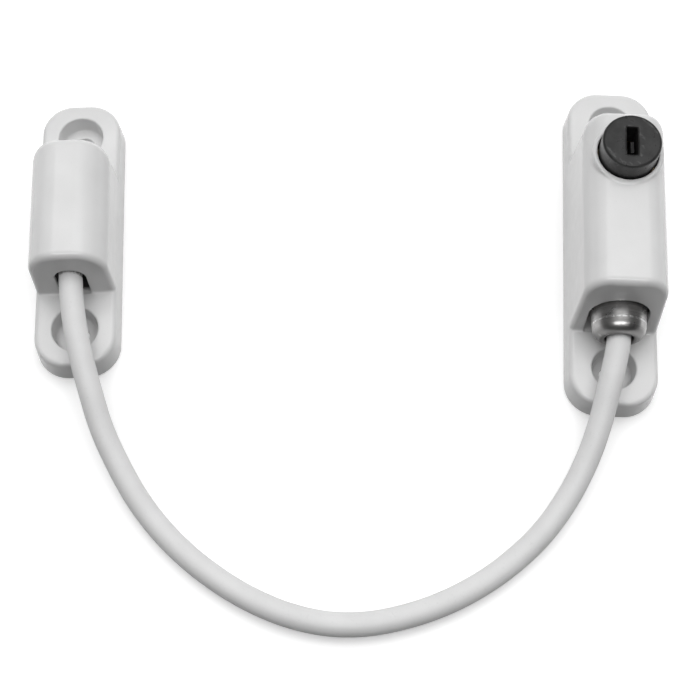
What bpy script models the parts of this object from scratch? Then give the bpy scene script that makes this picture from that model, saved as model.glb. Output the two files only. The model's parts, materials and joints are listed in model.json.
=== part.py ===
"""Window restrictor: a key-locking body and an anchor body joined by a coated steel cable.

Both bodies lie on their backs on the plane z = 0, with their fronts facing +Z. The lock body
runs along +Y. The cable leaves both bodies at their lower ends, towards -Y, and its loop lies
on the plane. Lengths are in metres.
"""
import math

import bmesh
import bpy
from mathutils import Matrix, Vector

MM = 0.001
GAP = 0.3 * MM

# Where the two bodies lie: the middle of each body's lower end, and the anchor's lean.
LOCK_PLACE = (59.06 * MM, -37.95 * MM)
ANCHOR_PLACE = (-54.74 * MM, -34.97 * MM)
ANCHOR_LEAN = math.radians(5.2)

# Base plates, shared by both bodies.
PLATE_THICKNESS = 6.8 * MM
PLATE_DRAFT = 0.45 * MM
PLATE_END_RADIUS = 7.2 * MM
PLATE_EDGE_RADIUS = 1.0 * MM
SEAT_HEIGHT = 2.2 * MM
SEAT_RADIUS = 4.35 * MM
SCREW_HOLE_RADIUS = 2.4 * MM

# Raised blocks: round vertical corners, broad roundings along the front's long edges and
# narrow ones along its ends.
BLOCK_CORNER = 2.4 * MM
END_ROUNDING = {"inset": 1.4 * MM, "depth": 1.5 * MM}

# Height of the cable's axis where it leaves either body.
CABLE_HEIGHT = 13.3 * MM
CABLE_RADIUS = 2.5 * MM
ROPE_RADIUS = 1.5 * MM

# Lock body.
LOCK_WIDTH = 19.5 * MM
LOCK_LENGTH = 75.9 * MM
LOCK_FRONT = 27.7 * MM
LOCK_BLOCK = (17.0 * MM, 60.3 * MM)
LOCK_DRAFTS = {"side": 0.95 * MM, "lower": 1.9 * MM, "upper": 1.9 * MM}
LOCK_ROUNDING = {"inset": 4.8 * MM, "depth": 6.2 * MM}
LOCK_HOLES = (8.65 * MM, 67.25 * MM)
LOCK_HOLE_RADIUS = 4.7 * MM
LOCK_COVER = {"half_width": 7.4 * MM, "y_range": (28.3 * MM, 61.7 * MM), "corner": 3.0 * MM}
LOCK_COVER_SCREWS = (30.2 * MM, 60.2 * MM)

# Anchor body.
ANCHOR_WIDTH = 18.1 * MM
ANCHOR_LENGTH = 63.9 * MM
ANCHOR_FRONT = 22.8 * MM
ANCHOR_BLOCK = (17.2 * MM, 47.7 * MM)
ANCHOR_DRAFTS = {"side": 0.5 * MM, "lower": 0.9 * MM, "upper": 1.6 * MM}
ANCHOR_ROUNDING = {"inset": 6.2 * MM, "depth": 7.0 * MM}
ANCHOR_HOLES = (8.8 * MM, 55.15 * MM)
ANCHOR_HOLE_RADIUS = 4.95 * MM
ANCHOR_COVER = {"half_width": 6.6 * MM, "y_range": (21.3 * MM, 48.3 * MM), "corner": 2.5 * MM}
ANCHOR_COVER_SCREWS = (24.2 * MM, 46.2 * MM)

# Push button and what turns or slides with it. Heights are those of the unlocked rest.
BUTTON_Y = 48.5 * MM
BUTTON_RADIUS = 6.1 * MM
BUTTON_FACE = LOCK_FRONT + 5.0 * MM
BUTTON_HEIGHT = 6.0 * MM
BUTTON_TRAVEL = 4.2 * MM
BUTTON_BORE_RADIUS = 6.4 * MM
COLLAR_RADIUS = 7.25 * MM
COLLAR_HEIGHT = 0.1 * MM
KEY_SLOT = (2.3 * MM, 6.4 * MM)
CORE_RADIUS = 3.95 * MM
CORE_TAIL_RADIUS = 2.1 * MM
CARRIER_HEAD = (24.0 * MM, 25.7 * MM)
CARRIER_STEM_RADIUS = 4.9 * MM
CARRIER_FLOOR = (14.0 * MM, 14.9 * MM)
CARRIER_SPIGOT_RADIUS = 3.4 * MM
CARRIER_BOTTOM = 11.2 * MM
SPRING_SEAT = (14.0 * MM, 15.5 * MM)
LATCH_PLATE_HEIGHT = (12.3 * MM, 13.7 * MM)
CIRCLIP_HEIGHT = (11.5 * MM, 12.0 * MM)
CAM_HEIGHT = (9.5 * MM, 10.9 * MM)
CAM_REACH = 6.7 * MM
CATCH_HEIGHT = (7.0 * MM, 9.1 * MM)
CATCH_Y = (53.7 * MM, 58.2 * MM)
CATCH_SCREW_X = (-4.5 * MM, 4.5 * MM)
CATCH_SCREW_Y = 57.0 * MM

# Cable plug and the socket that takes it, along the lock's length.
SOCKET_RADIUS = 6.6 * MM
SOCKET_MOUTH_RADIUS = 6.35 * MM
SOCKET_MOUTH_AXIS = 13.9 * MM
SOCKET_END = 33.9 * MM
PLUG_RADIUS = 5.9 * MM
PLUG_START = 12.4 * MM
PLUG_NOSE = {"length": 3.1 * MM, "inset": 2.4 * MM}
PLUG_TIP = 40.9 * MM
PLUG_TIP_RADIUS = 3.4 * MM
PLUG_NECK = (35.7 * MM, 38.2 * MM)
PLUG_NECK_RADIUS = 2.0 * MM
SHEATH_IN_PLUG = 20.2 * MM
LATCH_LEG = (36.2 * MM, 37.7 * MM)

# Cable end inside the anchor, along the anchor's length.
ARCH_RADIUS = 3.3 * MM
ANCHOR_CAVITY = (28.0 * MM, 43.5 * MM)
FERRULE = (30.0 * MM, 38.5 * MM)
FERRULE_RADIUS = 4.2 * MM
SHEATH_IN_ANCHOR = 35.7 * MM

# Route of the cable's centreline, from the anchor's mouth to the plug.
CABLE_ROUTE = [
    (-56.44, -16.05, 13.3), (-55.45, -22.3, 13.25), (-53.9, -28.9, 12.8), (-52.25, -34.5, 11.9),
    (-50.0, -40.9, 10.1), (-47.3, -47.9, 7.5), (-43.8, -54.4, 5.2), (-39.1, -61.5, 3.6),
    (-33.7, -67.7, 2.85), (-27.6, -73.1, 2.6), (-20.9, -77.7, 2.6), (-13.8, -81.4, 2.6),
    (-6.1, -84.1, 2.6), (2.0, -85.4, 2.6), (10.0, -84.95, 2.6), (18.0, -82.9, 2.6),
    (25.5, -79.8, 2.6), (32.6, -75.6, 2.6), (39.1, -70.4, 2.75), (44.9, -64.3, 3.3),
    (49.6, -57.3, 4.3), (53.2, -49.9, 6.0), (55.65, -42.5, 8.5), (57.3, -35.0, 11.2),
    (58.5, -29.0, 12.8),
]
CABLE_POINTS = 34

CIRCLE_STEPS = 32
SHARP_ANGLE = math.radians(35.0)


# ---------------------------------------------------------------- scene and materials

def clear_scene():
    for old in list(bpy.data.objects):
        bpy.data.objects.remove(old, do_unlink=True)


def make_material(name, colour, roughness, metallic):
    material = bpy.data.materials.new(name)
    material.use_nodes = True
    shader = material.node_tree.nodes["Principled BSDF"]
    shader.inputs["Base Color"].default_value = (*colour, 1.0)
    shader.inputs["Roughness"].default_value = roughness
    shader.inputs["Metallic"].default_value = metallic
    return material


def white_gloss_paint():
    return make_material("white_gloss_paint", (0.84, 0.84, 0.83), 0.22, 0.0)


def white_cable_sheath():
    return make_material("white_cable_sheath", (0.80, 0.80, 0.79), 0.38, 0.0)


def grey_button():
    return make_material("grey_button", (0.065, 0.065, 0.068), 0.42, 0.0)


def turned_steel():
    return make_material("turned_steel", (0.60, 0.59, 0.57), 0.24, 1.0)


def zinc_plate():
    return make_material("zinc_plate", (0.52, 0.53, 0.55), 0.38, 1.0)


def spring_steel():
    return make_material("spring_steel", (0.40, 0.40, 0.42), 0.32, 1.0)


def brass():
    return make_material("brass", (0.70, 0.52, 0.24), 0.30, 1.0)


# ---------------------------------------------------------------- building tools

def place_frame(name, place, lean):
    frame = bpy.data.objects.new(name, None)
    frame.empty_display_size = 10 * MM
    frame.location = (place[0], place[1], 0.0)
    frame.rotation_euler = (0.0, 0.0, lean)
    bpy.context.scene.collection.objects.link(frame)
    return frame


def finish(bm, name, frame, material=None):
    """Turn a bmesh into a named object, shaded smooth between its sharp edges."""
    bmesh.ops.recalc_face_normals(bm, faces=bm.faces)
    mesh = bpy.data.meshes.new(name)
    bm.to_mesh(mesh)
    bm.free()
    mesh.shade_smooth()
    mesh.set_sharp_from_angle(angle=SHARP_ANGLE)
    made = bpy.data.objects.new(name, mesh)
    bpy.context.scene.collection.objects.link(made)
    made.parent = frame
    if material is not None:
        mesh.materials.append(material)
    return made


def combine(target, tool, operation):
    """Add or cut with a tool object, which stays in the file as a hidden guide."""
    tool.hide_render = True
    tool.display_type = "WIRE"
    step = target.modifiers.new(tool.name, "BOOLEAN")
    step.operation = operation
    step.solver = "EXACT"
    step.object = tool


def cut(target, *tools):
    for tool in tools:
        combine(target, tool, "DIFFERENCE")


def join(target, *tools):
    for tool in tools:
        combine(target, tool, "UNION")


def rounded_outline(x_low, x_high, y_low, y_high, radius, height, steps=6):
    """Corner points of a rectangle with round corners, anticlockwise seen from +Z."""
    corners = [
        (x_high - radius, y_low + radius, -90.0),
        (x_high - radius, y_high - radius, 0.0),
        (x_low + radius, y_high - radius, 90.0),
        (x_low + radius, y_low + radius, 180.0),
    ]
    points = []
    for centre_x, centre_y, start in corners:
        for step in range(steps + 1):
            angle = math.radians(start + 90.0 * step / steps)
            x = centre_x + radius * math.cos(angle)
            y = centre_y + radius * math.sin(angle)
            points.append((x, y, height))
    return points


def stack(rings):
    """Solid through a pile of rings that have the same number of points."""
    bm = bmesh.new()
    loops = [[bm.verts.new(point) for point in ring] for ring in rings]
    for below, above in zip(loops, loops[1:]):
        for index in range(len(below)):
            after = (index + 1) % len(below)
            bm.faces.new((below[index], below[after], above[after], above[index]))
    bm.faces.new(list(reversed(loops[0])))
    bm.faces.new(loops[-1])
    return bm


def slab(x_range, y_range, z_range, radius=None):
    """Upright block, with round vertical edges when a radius is given."""
    if radius is None:
        rings = [
            [(x_range[0], y_range[0], z), (x_range[1], y_range[0], z),
             (x_range[1], y_range[1], z), (x_range[0], y_range[1], z)]
            for z in z_range
        ]
    else:
        rings = [rounded_outline(*x_range, *y_range, radius, z) for z in z_range]
    return stack(rings)


def turned(outline, steps=CIRCLE_STEPS):
    """Solid of revolution about Z from a closed outline of (radius, height) points."""
    bm = bmesh.new()
    verts = [bm.verts.new((radius, 0.0, height)) for radius, height in outline]
    edges = [bm.edges.new((verts[i - 1], verts[i])) for i in range(len(verts))]
    on_axis = [e for e in edges if all(abs(v.co.x) < 1e-9 for v in e.verts)]
    bmesh.ops.delete(bm, geom=on_axis, context="EDGES_FACES")
    bmesh.ops.spin(
        bm, geom=bm.verts[:] + bm.edges[:], cent=(0, 0, 0), axis=(0, 0, 1),
        angle=2 * math.pi, steps=steps, use_merge=True,
    )
    bmesh.ops.remove_doubles(bm, verts=bm.verts, dist=1e-7)
    return bm


def rod(radius, low, high, steps=CIRCLE_STEPS):
    return turned([(0, low), (radius, low), (radius, high), (0, high)], steps)


def tube(inner, outer, low, high, steps=CIRCLE_STEPS):
    return turned([(inner, low), (outer, low), (outer, high), (inner, high)], steps)


def moved(bm, x=0.0, y=0.0, z=0.0):
    bmesh.ops.translate(bm, verts=bm.verts, vec=(x, y, z))
    return bm


def laid_along_y(bm, height):
    """Turn a solid of revolution from the Z axis onto the +Y axis at the given height."""
    turn = Matrix.Rotation(math.radians(-90.0), 3, "X")
    bmesh.ops.rotate(bm, verts=bm.verts, cent=(0, 0, 0), matrix=turn)
    return moved(bm, z=height)


def pan_head_screw(name, frame, material, x, y, head, shank_end, head_radius, shank_radius):
    """Screw driven towards +Z, with a cross recess in its head."""
    head_low, head_high = head
    outline = [
        (0, head_low), (head_radius * 0.75, head_low), (head_radius, head_low + 0.25 * MM),
        (head_radius, head_high), (shank_radius, head_high), (shank_radius, shank_end), (0, shank_end),
    ]
    screw = finish(moved(turned(outline, 16), x=x, y=y), name, frame, material)
    depth = head_low + 0.5 * (head_high - head_low)
    arm = 0.6 * head_radius
    thin = 0.14 * head_radius
    for turn, (half_x, half_y) in enumerate(((arm, thin), (thin, arm))):
        recess = slab((x - half_x, x + half_x), (y - half_y, y + half_y), (head_low - MM, depth))
        cut(screw, finish(recess, f"{name}_recess_{turn}", frame))
    return screw


# ---------------------------------------------------------------- die-cast bodies

def base_plate(width, length):
    """Long plate with round ends, drafted sides and a rounded front edge."""
    rings = []
    straight = PLATE_THICKNESS - PLATE_EDGE_RADIUS
    levels = [(0.0, 0.0), (straight, PLATE_DRAFT * straight / PLATE_THICKNESS)]
    for step in range(1, 5):
        angle = math.radians(90.0 * step / 4)
        inset = PLATE_DRAFT + PLATE_EDGE_RADIUS * (1 - math.cos(angle))
        levels.append((straight + PLATE_EDGE_RADIUS * math.sin(angle), inset))
    for height, inset in levels:
        half = width / 2 - inset
        rings.append(rounded_outline(
            -half, half, inset, length - inset, PLATE_END_RADIUS - inset, height, steps=8))
    return stack(rings)


def rounding_inset(rounding, depth):
    """How far an elliptical rounding draws in at a depth below the face that it starts from."""
    share = max(1 - depth / rounding["depth"], 0.0)
    return rounding["inset"] * (1 - math.sqrt(1 - share ** 2))


def raised_block(width, front, span, drafts, rounding):
    """Tapered block on the plate, its front edges rounded, reaching down into the plate."""
    proud = 0.05 * MM
    rings = []

    def add_ring(height, inset_x, inset_low, inset_high):
        half = width / 2 - inset_x
        rings.append(rounded_outline(
            -half, half, span[0] + inset_low, span[1] - inset_high, BLOCK_CORNER, height, steps=5))

    foot = 0.5 * MM
    add_ring(foot, PLATE_DRAFT * foot / PLATE_THICKNESS - proud, 0.0, 0.0)
    add_ring(PLATE_THICKNESS, PLATE_DRAFT - proud, 0.0, 0.0)
    for step in range(8):
        depth = rounding["depth"] * (1 - math.sin(math.radians(90.0 * step / 7)))
        height = front - depth
        rise = (height - PLATE_THICKNESS) / (front - PLATE_THICKNESS)
        end_inset = rounding_inset(END_ROUNDING, depth)
        add_ring(
            height,
            PLATE_DRAFT - proud + drafts["side"] * rise + rounding_inset(rounding, depth),
            drafts["lower"] * rise + end_inset,
            drafts["upper"] * rise + end_inset,
        )
    return stack(rings)


def cut_screw_holes(housing, frame, places, rim_radius):
    """Screw holes with a tapered counterbore down to a flat seat."""
    top = PLATE_THICKNESS + 0.5 * MM
    widening = (rim_radius - SEAT_RADIUS) / (PLATE_THICKNESS - SEAT_HEIGHT)
    top_radius = rim_radius + widening * (top - PLATE_THICKNESS)
    outline = [
        (0, -MM), (SCREW_HOLE_RADIUS, -MM), (SCREW_HOLE_RADIUS, SEAT_HEIGHT),
        (SEAT_RADIUS, SEAT_HEIGHT), (top_radius, top), (0, top),
    ]
    for number, y in enumerate(places, start=1):
        tool = finish(moved(turned(outline), y=y), f"{housing.name}_screw_hole_{number}", frame)
        cut(housing, tool)


def cut_back_recess(housing, frame, cover, screw_places):
    """Shallow recess for a back cover, with the blind holes of its two screws."""
    half_width = cover["half_width"] + GAP
    y_range = (cover["y_range"][0] - GAP, cover["y_range"][1] + GAP)
    recess = slab((-half_width, half_width), y_range, (-MM, 1.8 * MM), cover["corner"] + GAP)
    cut(housing, finish(recess, f"{housing.name}_cover_recess", frame))
    for number, y in enumerate(screw_places, start=1):
        hole = moved(rod(1.1 * MM, MM, 5.2 * MM, 16), y=y)
        cut(housing, finish(hole, f"{housing.name}_cover_hole_{number}", frame))


def doorway(radius, axis_height, y_range):
    """Tunnel along Y with a half-round roof and straight sides down to a flat floor."""
    bm = bmesh.new()
    floor = PLATE_THICKNESS - GAP
    outline = [(radius, 0.0, floor), (radius, 0.0, axis_height)]
    steps = CIRCLE_STEPS // 2
    for step in range(1, steps):
        angle = math.pi * step / steps
        outline.append((radius * math.cos(angle), 0.0, axis_height + radius * math.sin(angle)))
    outline += [(-radius, 0.0, axis_height), (-radius, 0.0, floor)]
    near = [bm.verts.new((x, y_range[0], z)) for x, y, z in outline]
    face = bm.faces.new(near)
    pushed = bmesh.ops.extrude_face_region(bm, geom=[face])
    far = [v for v in pushed["geom"] if isinstance(v, bmesh.types.BMVert)]
    bmesh.ops.translate(bm, verts=far, vec=(0, y_range[1] - y_range[0], 0))
    return bm


def make_lock_housing(frame, paint):
    housing = finish(base_plate(LOCK_WIDTH, LOCK_LENGTH), "lock_housing", frame, paint)
    block = raised_block(LOCK_WIDTH, LOCK_FRONT, LOCK_BLOCK, LOCK_DRAFTS, LOCK_ROUNDING)
    join(housing, finish(block, "lock_block", frame, paint))
    collar = moved(rod(COLLAR_RADIUS, SPRING_SEAT[1], LOCK_FRONT + COLLAR_HEIGHT, 48), y=BUTTON_Y)
    join(housing, finish(collar, "lock_collar", frame, paint))

    cut_screw_holes(housing, frame, LOCK_HOLES, LOCK_HOLE_RADIUS)
    cut_back_recess(housing, frame, LOCK_COVER, LOCK_COVER_SCREWS)

    stem_hole_radius = CARRIER_STEM_RADIUS + GAP
    button_bore = moved(turned([
        (0, SPRING_SEAT[0] - MM), (stem_hole_radius, SPRING_SEAT[0] - MM),
        (stem_hole_radius, SPRING_SEAT[1]), (BUTTON_BORE_RADIUS, SPRING_SEAT[1]),
        (BUTTON_BORE_RADIUS, LOCK_FRONT + 2 * MM), (0, LOCK_FRONT + 2 * MM),
    ], 48), y=BUTTON_Y)
    cam_cavity = slab((-7.2 * MM, 7.2 * MM), (35.0 * MM, 55.7 * MM), (MM, SPRING_SEAT[0]), 1.5 * MM)
    catch_heights = (MM, CATCH_HEIGHT[1] + GAP)
    catch_cavity = slab((-7.2 * MM, 7.2 * MM), (50.0 * MM, 58.5 * MM), catch_heights, 1.5 * MM)
    leg_cavity = slab((-6.1 * MM, 6.1 * MM), (35.4 * MM, 38.6 * MM), (MM, 22.2 * MM))
    mouth_y = (LOCK_BLOCK[0] - GAP, 24.0 * MM)
    socket = doorway(SOCKET_MOUTH_RADIUS, SOCKET_MOUTH_AXIS, mouth_y)
    socket_bore = laid_along_y(rod(SOCKET_RADIUS, 20.0 * MM, SOCKET_END), CABLE_HEIGHT)
    tip_hole = laid_along_y(rod(PLUG_TIP_RADIUS + 0.5 * MM, 33.0 * MM, 41.5 * MM), CABLE_HEIGHT)
    cut(
        housing,
        finish(button_bore, "lock_button_bore", frame),
        finish(cam_cavity, "lock_cam_cavity", frame),
        finish(catch_cavity, "lock_catch_cavity", frame),
        finish(leg_cavity, "lock_leg_cavity", frame),
        finish(socket, "lock_socket_mouth", frame),
        finish(socket_bore, "lock_socket_bore", frame),
        finish(tip_hole, "lock_tip_hole", frame),
    )
    for number, x in enumerate(CATCH_SCREW_X, start=1):
        hole = moved(rod(1.05 * MM, CATCH_HEIGHT[1], 13.5 * MM, 16), x=x, y=CATCH_SCREW_Y)
        cut(housing, finish(hole, f"lock_catch_hole_{number}", frame))


def make_anchor_housing(frame, paint):
    housing = finish(base_plate(ANCHOR_WIDTH, ANCHOR_LENGTH), "anchor_housing", frame, paint)
    block = raised_block(ANCHOR_WIDTH, ANCHOR_FRONT, ANCHOR_BLOCK, ANCHOR_DRAFTS, ANCHOR_ROUNDING)
    join(housing, finish(block, "anchor_block", frame, paint))

    cut_screw_holes(housing, frame, ANCHOR_HOLES, ANCHOR_HOLE_RADIUS)
    cut_back_recess(housing, frame, ANCHOR_COVER, ANCHOR_COVER_SCREWS)

    arch = doorway(ARCH_RADIUS, CABLE_HEIGHT, (ANCHOR_BLOCK[0] - GAP, 22.0 * MM))
    bore = laid_along_y(rod(ARCH_RADIUS, 18.0 * MM, ANCHOR_CAVITY[0] + MM), CABLE_HEIGHT)
    cavity = slab((-6.2 * MM, 6.2 * MM), ANCHOR_CAVITY, (MM, 19.0 * MM), 1.5 * MM)
    cut(
        housing,
        finish(arch, "anchor_arch", frame),
        finish(bore, "anchor_bore", frame),
        finish(cavity, "anchor_cavity", frame),
    )


def make_back_cover(name, frame, material, sizes, screw_places):
    """Thin plate let into a body's back, held by two screws."""
    x_range = (-sizes["half_width"], sizes["half_width"])
    bm = slab(x_range, sizes["y_range"], (0.3 * MM, 1.5 * MM), sizes["corner"])
    cover = finish(bm, name, frame, material)
    for number, y in enumerate(screw_places, start=1):
        outline = [
            (0, -MM), (2.2 * MM, -MM), (2.2 * MM, 0.45 * MM), (1.05 * MM, 1.2 * MM),
            (1.05 * MM, 3 * MM), (0, 3 * MM),
        ]
        hole = moved(turned(outline, 16), y=y)
        cut(cover, finish(hole, f"{name}_hole_{number}", frame))


def make_cover_screws(prefix, frame, material, places):
    """Countersunk screws, heads level with the cover."""
    for number, y in enumerate(places, start=1):
        outline = [
            (0, 0.3 * MM), (1.75 * MM, 0.3 * MM), (0.75 * MM, 1.0 * MM), (0.75 * MM, 4.8 * MM),
            (0, 4.8 * MM),
        ]
        name = f"{prefix}_{number}"
        screw = finish(moved(turned(outline, 16), y=y), name, frame, material)
        slot = slab((-1.2 * MM, 1.2 * MM), (y - 0.2 * MM, y + 0.2 * MM), (-MM, 0.6 * MM))
        cut(screw, finish(slot, f"{name}_slot", frame))


# ---------------------------------------------------------------- lock mechanism

def make_catch(frame, plate_material, screw_material):
    """Steel ledge that holds the cam down once the key has turned it."""
    bm = slab((-6.9 * MM, 6.9 * MM), CATCH_Y, CATCH_HEIGHT, 1.4 * MM)
    plate = finish(bm, "catch_plate", frame, plate_material)
    for number, x in enumerate(CATCH_SCREW_X, start=1):
        hole = moved(rod(1.05 * MM, 6.0 * MM, 10.0 * MM, 16), x=x, y=CATCH_SCREW_Y)
        cut(plate, finish(hole, f"catch_plate_hole_{number}", frame))
        pan_head_screw(
            f"catch_screw_{number}", frame, screw_material, x, CATCH_SCREW_Y,
            (5.6 * MM, CATCH_HEIGHT[0] - GAP), 13.0 * MM, 1.4 * MM, 0.75 * MM)


def make_button(frame, material):
    """Round push button with the key slot through its face."""
    top = BUTTON_FACE
    bottom = BUTTON_FACE - BUTTON_HEIGHT
    soft = 0.5 * MM
    outline = [(0, bottom), (BUTTON_RADIUS, bottom)]
    for step in range(4):
        angle = math.radians(90.0 * step / 3)
        radius = BUTTON_RADIUS - soft * (1 - math.cos(angle))
        outline.append((radius, top - soft * (1 - math.sin(angle))))
    outline.append((0, top))
    button = finish(turned(outline, 48), "push_button", frame, material)
    half_x = KEY_SLOT[0] / 2
    half_y = KEY_SLOT[1] / 2
    slot = slab((-half_x, half_x), (-half_y, half_y), (bottom - MM, top + MM), 0.25 * MM)
    cut(button, finish(slot, "push_button_slot", frame))
    return button


def make_key_core(frame, core_material, ward_material):
    """Core that the key turns, with the ward that only the right key passes over."""
    top = BUTTON_FACE - BUTTON_HEIGHT - GAP
    bottom = CARRIER_FLOOR[1] + GAP
    outline = [
        (0, CARRIER_BOTTOM), (CORE_TAIL_RADIUS, CARRIER_BOTTOM), (CORE_TAIL_RADIUS, bottom),
        (CORE_RADIUS, bottom), (CORE_RADIUS, top), (0, top),
    ]
    core = finish(turned(outline), "key_core", frame, core_material)
    slot_floor = 16.5 * MM
    slot = slab((-1.2 * MM, 1.2 * MM), (-3.2 * MM, 3.2 * MM), (slot_floor, top + MM), 0.2 * MM)
    screw_hole = rod(1.2 * MM, CARRIER_BOTTOM - MM, 15.6 * MM, 16)
    cut(core, finish(slot, "key_core_slot", frame), finish(screw_hole, "key_core_hole", frame))
    ward = slab((-0.35 * MM, 0.35 * MM), (-1.2 * MM, 1.2 * MM), (slot_floor + GAP, BUTTON_FACE - 1.5 * MM))
    finish(ward, "keyway_ward", frame, ward_material)


def make_wave_washer(frame, material):
    low = CARRIER_HEAD[1] + GAP
    high = BUTTON_FACE - BUTTON_HEIGHT - GAP
    finish(tube(CORE_RADIUS + 0.35 * MM, 5.8 * MM, low, high), "wave_washer", frame, material)


def make_cam(frame, cam_material, screw_material):
    """Cam on the core's tail: a round hub with one lobe, which points to -X at rest."""
    cam = finish(rod(3.0 * MM, *CAM_HEIGHT), "locking_cam", frame, cam_material)
    lobe_low = CAM_HEIGHT[0] + 0.001 * MM
    lobe_high = CAM_HEIGHT[1] - 0.001 * MM
    lobe = slab((-CAM_REACH, 0.0), (-1.7 * MM, 1.7 * MM), (lobe_low, lobe_high), 0.6 * MM)
    join(cam, finish(lobe, "locking_cam_lobe", frame))
    hole = rod(1.05 * MM, CAM_HEIGHT[0] - MM, CAM_HEIGHT[1] + MM, 16)
    cut(cam, finish(hole, "locking_cam_hole", frame))
    pan_head_screw(
        "cam_screw", frame, screw_material, 0.0, 0.0,
        (8.0 * MM, CAM_HEIGHT[0] - GAP), 15.2 * MM, 1.9 * MM, 0.75 * MM)


def make_carrier(frame, material):
    """Sleeve that slides in the lock's bore and carries the core and the latch plate."""
    bore = CORE_RADIUS + 0.35 * MM
    tail_bore = CORE_TAIL_RADIUS + GAP
    groove = CARRIER_SPIGOT_RADIUS - 0.4 * MM
    outline = [
        (bore, CARRIER_HEAD[1]), (bore, CARRIER_FLOOR[1]), (tail_bore, CARRIER_FLOOR[1]),
        (tail_bore, CARRIER_BOTTOM), (CARRIER_SPIGOT_RADIUS, CARRIER_BOTTOM),
        (CARRIER_SPIGOT_RADIUS, CIRCLIP_HEIGHT[0] - 0.1 * MM), (groove, CIRCLIP_HEIGHT[0] - 0.1 * MM),
        (groove, CIRCLIP_HEIGHT[1] + 0.1 * MM), (CARRIER_SPIGOT_RADIUS, CIRCLIP_HEIGHT[1] + 0.1 * MM),
        (CARRIER_SPIGOT_RADIUS, CARRIER_FLOOR[0]), (CARRIER_STEM_RADIUS, CARRIER_FLOOR[0]),
        (CARRIER_STEM_RADIUS, CARRIER_HEAD[0]), (BUTTON_RADIUS, CARRIER_HEAD[0]),
        (BUTTON_RADIUS, CARRIER_HEAD[1]),
    ]
    finish(turned(outline), "key_carrier", frame, material)


def make_circlip(frame, material):
    """Open ring in the carrier's groove, under the latch plate."""
    inner = CARRIER_SPIGOT_RADIUS - 0.1 * MM
    clip = finish(tube(inner, 4.8 * MM, *CIRCLIP_HEIGHT), "carrier_circlip", frame, material)
    mouth = slab((1.0 * MM, 7.0 * MM), (-1.2 * MM, 1.2 * MM), (11.0 * MM, 12.2 * MM))
    cut(clip, finish(mouth, "carrier_circlip_mouth", frame))


def make_return_spring(frame, material):
    """Compression spring round the carrier's stem, closed at both ends."""
    wire = 0.35 * MM
    mean_radius = 5.55 * MM
    low = SPRING_SEAT[1] + wire + 0.15 * MM
    high = CARRIER_HEAD[0] - wire - 0.15 * MM
    turns = 5.0
    steps_per_turn = 16
    count = int(turns * steps_per_turn) + 1
    curve = bpy.data.curves.new("return_spring", "CURVE")
    curve.dimensions = "3D"
    curve.bevel_depth = wire
    curve.bevel_resolution = 1
    curve.use_fill_caps = True
    spline = curve.splines.new("POLY")
    spline.points.add(count - 1)
    for index in range(count):
        angle = 2 * math.pi * index / steps_per_turn
        height = low + (high - low) * index / (count - 1)
        x = mean_radius * math.cos(angle)
        y = mean_radius * math.sin(angle)
        spline.points[index].co = (x, y, height, 1.0)
    spring = bpy.data.objects.new("return_spring", curve)
    curve.materials.append(material)
    bpy.context.scene.collection.objects.link(spring)
    spring.parent = frame


def make_latch_plate(frame, material):
    """Angled plate: a foot under the carrier and a leg whose keyhole grips the plug's neck."""
    axis_y = BUTTON_Y
    foot_low, foot_high = LATCH_PLATE_HEIGHT
    leg_low = CABLE_HEIGHT - 5.0 * MM
    slot_centre = CABLE_HEIGHT + BUTTON_TRAVEL
    slot_half = PLUG_NECK_RADIUS + 0.4 * MM
    leg_high = slot_centre + slot_half + 1.8 * MM
    half_width = 5.8 * MM
    leg_y = (LATCH_LEG[0] - axis_y, LATCH_LEG[1] - axis_y)

    foot = slab((-half_width, half_width), (leg_y[0] + 0.2 * MM, 4.8 * MM), (foot_low, foot_high))
    plate = finish(foot, "latch_plate", frame, material)
    ear_heights = (foot_low + 0.01 * MM, foot_high - 0.01 * MM)
    ears = slab((-6.6 * MM, 6.6 * MM), (-4.5 * MM, 4.6 * MM), ear_heights, MM)
    leg = slab((-half_width - 0.02 * MM, half_width + 0.02 * MM), leg_y, (leg_low, leg_high))
    join(plate, finish(ears, "latch_plate_ears", frame), finish(leg, "latch_plate_leg", frame))

    fork = slab((-3.9 * MM, 3.9 * MM), (leg_y[1] - 0.01 * MM, -5.3 * MM), (foot_low - MM, foot_high + MM))
    stem_hole = rod(CARRIER_SPIGOT_RADIUS + GAP, foot_low - MM, foot_high + MM)
    entry = laid_along_y(rod(PLUG_TIP_RADIUS + 0.4 * MM, -14 * MM, -10 * MM), CABLE_HEIGHT)
    slot_top = laid_along_y(rod(slot_half, -14 * MM, -10 * MM), slot_centre)
    slot = slab((-slot_half, slot_half), (-14 * MM, -10 * MM), (CABLE_HEIGHT, slot_centre))
    cut(
        plate,
        finish(fork, "latch_plate_fork", frame),
        finish(stem_hole, "latch_plate_stem_hole", frame),
        finish(entry, "latch_plate_entry", frame),
        finish(slot_top, "latch_plate_slot_top", frame),
        finish(slot, "latch_plate_slot", frame),
    )


# ---------------------------------------------------------------- cable and its ends

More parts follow.
